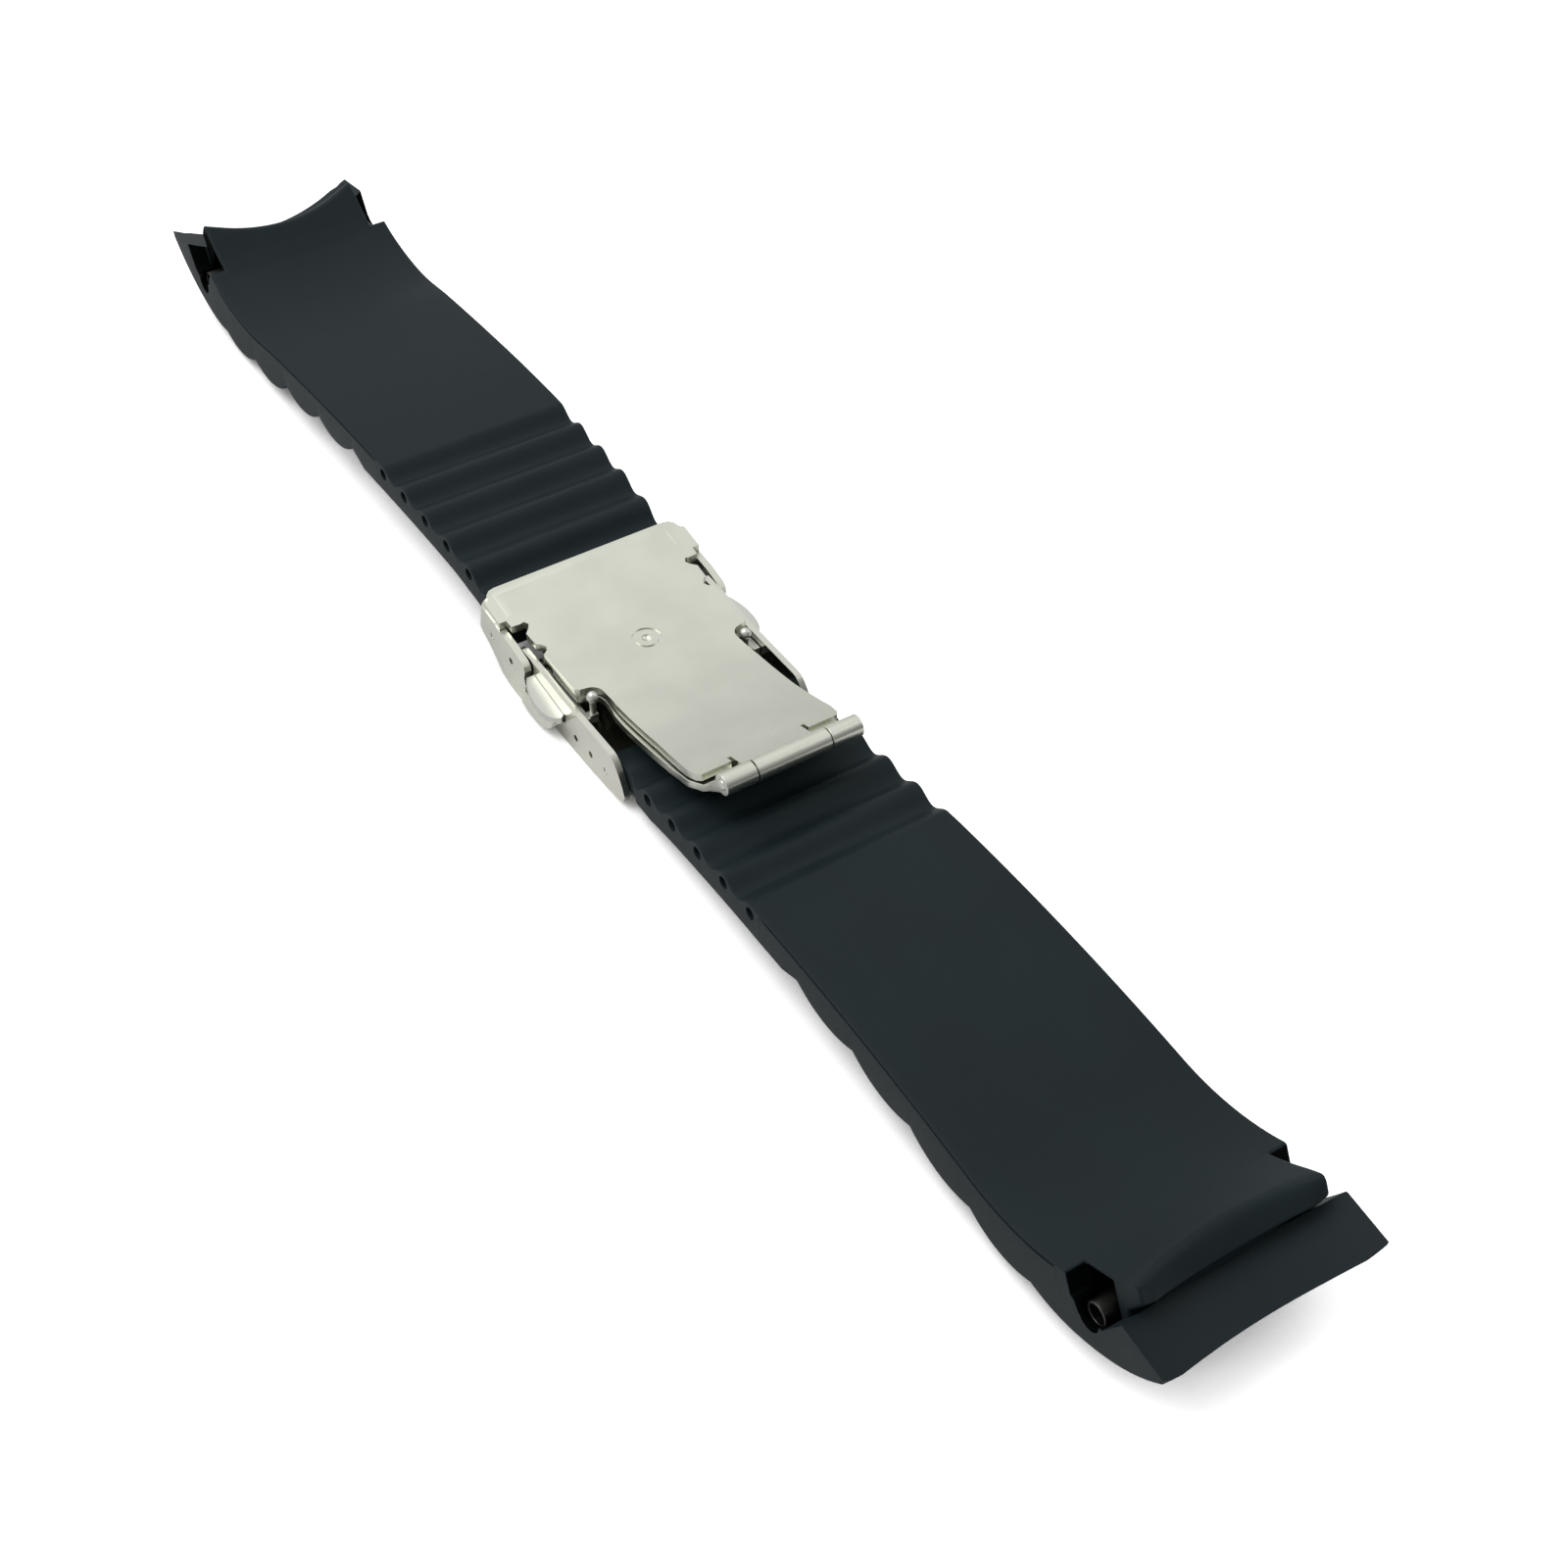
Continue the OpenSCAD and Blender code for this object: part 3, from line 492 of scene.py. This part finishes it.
def cylinder(name, r, depth, segments):
    work = bmesh.new()
    bmesh.ops.create_cone(work, cap_ends=True, segments=segments, radius1=r, radius2=r, depth=depth)
    mesh = bpy.data.meshes.new(name)
    work.to_mesh(mesh)
    work.free()
    return mesh


def rod(x, z, r):
    """A cross bore's cutter."""
    mesh = cylinder("rod", r, 40, 40)
    mesh.transform(Matrix.Translation((x, 0, z)) @ Matrix.Rotation(math.pi / 2, 4, "X"))
    return mesh


def gather(meshes):
    """One object made of several meshes that don't touch."""
    work = bmesh.new()
    for mesh in meshes:
        work.from_mesh(mesh)
    joined = bpy.data.meshes.new("tools")
    work.to_mesh(joined)
    work.free()
    tool = bpy.data.objects.new("tools", joined)
    scene.collection.objects.link(tool)
    return tool


def combine(piece, tool, operation):
    step = piece.modifiers.new("step", "BOOLEAN")
    step.operation = operation
    step.solver = "EXACT"
    step.object = tool
    bake_modifiers(piece)
    bpy.data.objects.remove(tool)


def lug_cutters(half):
    """The case's flank, which scoops the flap, and the pockets that the sleeve's ends stand in."""
    at = shoulder_frame(half)
    flank = cylinder("flank", FLANK_R, 22, 360)
    slope = math.atan2(FLANK_RUN, FLANK_DROP)
    flank.transform(at @ Matrix.Translation((TONGUE - 0.3, 0, -2.05)) @ Matrix.Rotation(-slope, 4, "Y")
                    @ Matrix.Translation((arc(FLANK_R, SHOULDER), 0, -4)))
    tools = [flank]
    low = Vector((POCKET_X[0] + half.notch, POCKET_Y[0], POCKET_Z[0]))
    high = Vector((POCKET_X[1], POCKET_Y[1], POCKET_Z[1]))
    size, middle = high - low, (high + low) / 2
    for side in (-1, 1):
        work = bmesh.new()
        bmesh.ops.create_cube(work, size=1)
        pocket = bpy.data.meshes.new("pocket")
        work.to_mesh(pocket)
        work.free()
        pocket.transform(at @ Matrix.Translation((middle.x, side * middle.y, middle.z))
                         @ Matrix.Diagonal((*size, 1)))
        tools.append(pocket)
    return tools


def in_shaded_notch(at, middle, half):
    """Whether a face lies in the lug notch, out as far as shade, where no light comes: such faces get painted
    shade, a near-black, hardly shiny copy of the silicone.
    """
    x, y, z = at @ middle
    inner = 7.4 if x < 4.1 else 9.9
    return half.notch - 0.1 < x < half.shade and z < -0.3 and inner < abs(y) < SHOULDER - 0.05


def strap_piece(node, name, half):
    """The moulded silicone of one half."""
    piece = strap_body(half)
    piece.name = name
    flank, left, right = lug_cutters(half)
    combine(piece, gather([flank]), "DIFFERENCE")
    combine(piece, strap_tongue(half), "UNION")
    combine(piece, gather([left, right]), "DIFFERENCE")
    lug_bore = rod(*LUG_BORE, LUG_BORE_R)
    lug_bore.transform(shoulder_frame(half))
    rods = [rod(half.start[0], half.start[1], BORE_R), lug_bore]
    for i in range(5):
        x, z, _ = along(half, FIRST_RIB + i * RIB_PITCH)
        rods.append(rod(x, z, BORE_R))
    combine(piece, gather(rods), "DIFFERENCE")
    at = shoulder_frame(half).inverted()
    # Faces in the lug notch, out as far as the half's shade, get the painted shade copy of the silicone
    dark = [in_shaded_notch(at, face.center, half) for face in piece.data.polygons]
    for vert in piece.data.vertices:
        vert.co.z += table(vert.co.x, half.arch)
    piece.data.transform(Matrix.Diagonal((half.side * MM, MM, MM, 1)))
    if half.side < 0:
        piece.data.flip_normals()
    smooth(piece)
    piece.data.set_sharp_from_angle(angle=math.radians(34))
    dress(piece, silicone, node)
    piece.data.materials.append(notch_painted_shade)
    for face, is_dark in zip(piece.data.polygons, dark):
        face.material_index = 1 if is_dark else 0


strap_piece("strap_far", "far_strap_half", FAR)
strap_piece("strap_near", "near_strap_half", NEAR)
softened("inner_blade", "inner_blade_plate", plate_steel, 0.14)
softened("middle_blade", "middle_blade_sheet", plate_steel, 0.12)
softened("cover", "cover_channel", wall_steel, 0.12)
softened("push_button_left", "left_button", button_steel, 0.05)
softened("push_button_right", "right_button", button_steel, 0.05)
coil("button_spring_left", "left_button_spring")
coil("button_spring_right", "right_button_spring")
softened("blade_hinge_pin", "blade_pin", pin_steel, 0.15)
softened("cover_hinge_pin", "cover_pin", pin_steel, 0.1)
softened("spring_seat", "seat_block", wall_steel, 0.1)
# The sleeves get the darkened steel, painted shade for their recess
softened("lug_sleeve_far", "far_sleeve", sleeve_shade_steel, 0.08)
softened("lug_sleeve_near", "near_sleeve", sleeve_shade_steel, 0.08)


# What stays as the frame has it gets a better finish

for name, obj in nodes.items():
    if name.startswith("bar_tip") or name.startswith("bar_tube"):
        finish = pin_steel
    elif "spring" in name and "seat" not in name:
        finish = spring_wire
    else:
        continue
    for s in obj.material_slots:
        s.material = finish


# Floor, world and lamps, in metres

FLOOR_HALF, FLOOR_GLOW, NOOK = 3.0, 0.72, 0.015

def make_floor():
    """A plain pale table; its own glow goes out in the nooks that the clasp covers."""
    mesh = bpy.data.meshes.new("floor")
    corners = [(x * FLOOR_HALF, y * FLOOR_HALF, 0) for x, y in ((-1, -1), (1, -1), (1, 1), (-1, 1))]
    mesh.from_pydata(corners, [], [(0, 1, 2, 3)])
    floor = bpy.data.objects.new("floor", mesh)
    scene.collection.objects.link(floor)
    mat = bpy.data.materials.new("pale_floor")
    mat.use_nodes = True
    tree = mat.node_tree
    tree.nodes.clear()
    out = add(tree, "ShaderNodeOutputMaterial")
    plain = add(tree, "ShaderNodeBsdfDiffuse")
    plain.inputs["Color"].default_value = (0.85, 0.85, 0.85, 1)
    glow = add(tree, "ShaderNodeEmission")
    glow.inputs["Color"].default_value = (1, 1, 1, 1)
    path = add(tree, "ShaderNodeLightPath")
    amount = add(tree, "ShaderNodeMath", operation="MULTIPLY")
    nook = add(tree, "ShaderNodeAmbientOcclusion", samples=4)
    nook.inputs["Distance"].default_value = NOOK
    tree.links.new(spread(tree, nook.outputs["AO"], 0.2, 0.5, 0.0, FLOOR_GLOW), amount.inputs[1])
    tree.links.new(path.outputs["Is Camera Ray"], amount.inputs[0])
    tree.links.new(amount.outputs[0], glow.inputs["Strength"])
    both = add(tree, "ShaderNodeAddShader")
    tree.links.new(plain.outputs[0], both.inputs[0])
    tree.links.new(glow.outputs[0], both.inputs[1])
    tree.links.new(both.outputs[0], out.inputs[0])
    mesh.materials.append(mat)


def make_world():
    """White for the camera; for the object a soft tent, brighter above and far left than near right."""
    world = bpy.data.worlds.new("studio")
    scene.world = world
    world.use_nodes = True
    tree = world.node_tree
    tree.nodes.clear()
    out = add(tree, "ShaderNodeOutputWorld")
    place = add(tree, "ShaderNodeTexCoord")
    facing = add(tree, "ShaderNodeVectorMath", operation="DOT_PRODUCT")
    facing.inputs[1].default_value = (-0.5, -0.2, 0.84)
    tree.links.new(place.outputs["Generated"], facing.inputs[0])
    path = add(tree, "ShaderNodeLightPath")
    tent = add(tree, "ShaderNodeBackground")
    tree.links.new(spread(tree, facing.outputs["Value"], -0.5, 0.9, 0.12, 0.8), tent.inputs["Strength"])
    mirror = add(tree, "ShaderNodeBackground")
    above = add(tree, "ShaderNodeMath", operation="ADD")
    tree.links.new(spread(tree, facing.outputs["Value"], -0.35, 0.75, 0.2, 1.0), above.inputs[0])
    tree.links.new(spread(tree, facing.outputs["Value"], 0.6, 0.85, 0.0, 0.17), above.inputs[1])
    tree.links.new(above.outputs[0], mirror.inputs["Strength"])
    back = add(tree, "ShaderNodeBackground")
    back.inputs["Color"].default_value = (1, 1, 1, 1)
    shiny = add(tree, "ShaderNodeMixShader")
    tree.links.new(path.outputs["Is Glossy Ray"], shiny.inputs[0])
    tree.links.new(tent.outputs[0], shiny.inputs[1])
    tree.links.new(mirror.outputs[0], shiny.inputs[2])
    mix = add(tree, "ShaderNodeMixShader")
    tree.links.new(path.outputs["Is Camera Ray"], mix.inputs[0])
    tree.links.new(shiny.outputs[0], mix.inputs[1])
    tree.links.new(back.outputs[0], mix.inputs[2])
    tree.links.new(mix.outputs[0], out.inputs[0])


def make_lamp(name, place, size, power):
    lamp = bpy.data.lights.new(name, "AREA")
    lamp.shape = "SQUARE"
    lamp.size = size
    lamp.energy = power
    obj = bpy.data.objects.new(name, lamp)
    obj.location = place
    obj.rotation_euler = (-Vector(place)).to_track_quat("-Z", "Y").to_euler()
    scene.collection.objects.link(obj)


def make_camera():
    """The photograph's camera, solved from the strap's known widths and lengths."""
    right = Vector((0.5467953, 0.8371047, 0.0164518))
    down = Vector((0.5970837, -0.3760886, -0.7085537))
    ahead = Vector((-0.5869463, 0.3972569, -0.7054651))
    turn = Matrix((right, -down, -ahead)).transposed().to_4x4()
    cam = bpy.data.cameras.new("photo_camera")
    cam.sensor_width = 36.0
    cam.lens = 54.1915
    cam.shift_x = -0.003125
    cam.shift_y = -0.004725
    cam.clip_start = 0.01
    obj = bpy.data.objects.new("photo_camera", cam)
    obj.matrix_world = Matrix.Translation((0.16227, -0.09197, 0.17279)) @ turn
    scene.collection.objects.link(obj)
    scene.camera = obj


make_floor()
make_world()
make_lamp("key", (-0.25, -0.35, 0.75), 0.6, 3.4)
make_lamp("rim", (0.2, 0.6, 0.5), 0.5, 0.8)
make_camera()
scene.view_settings.view_transform = "Standard"
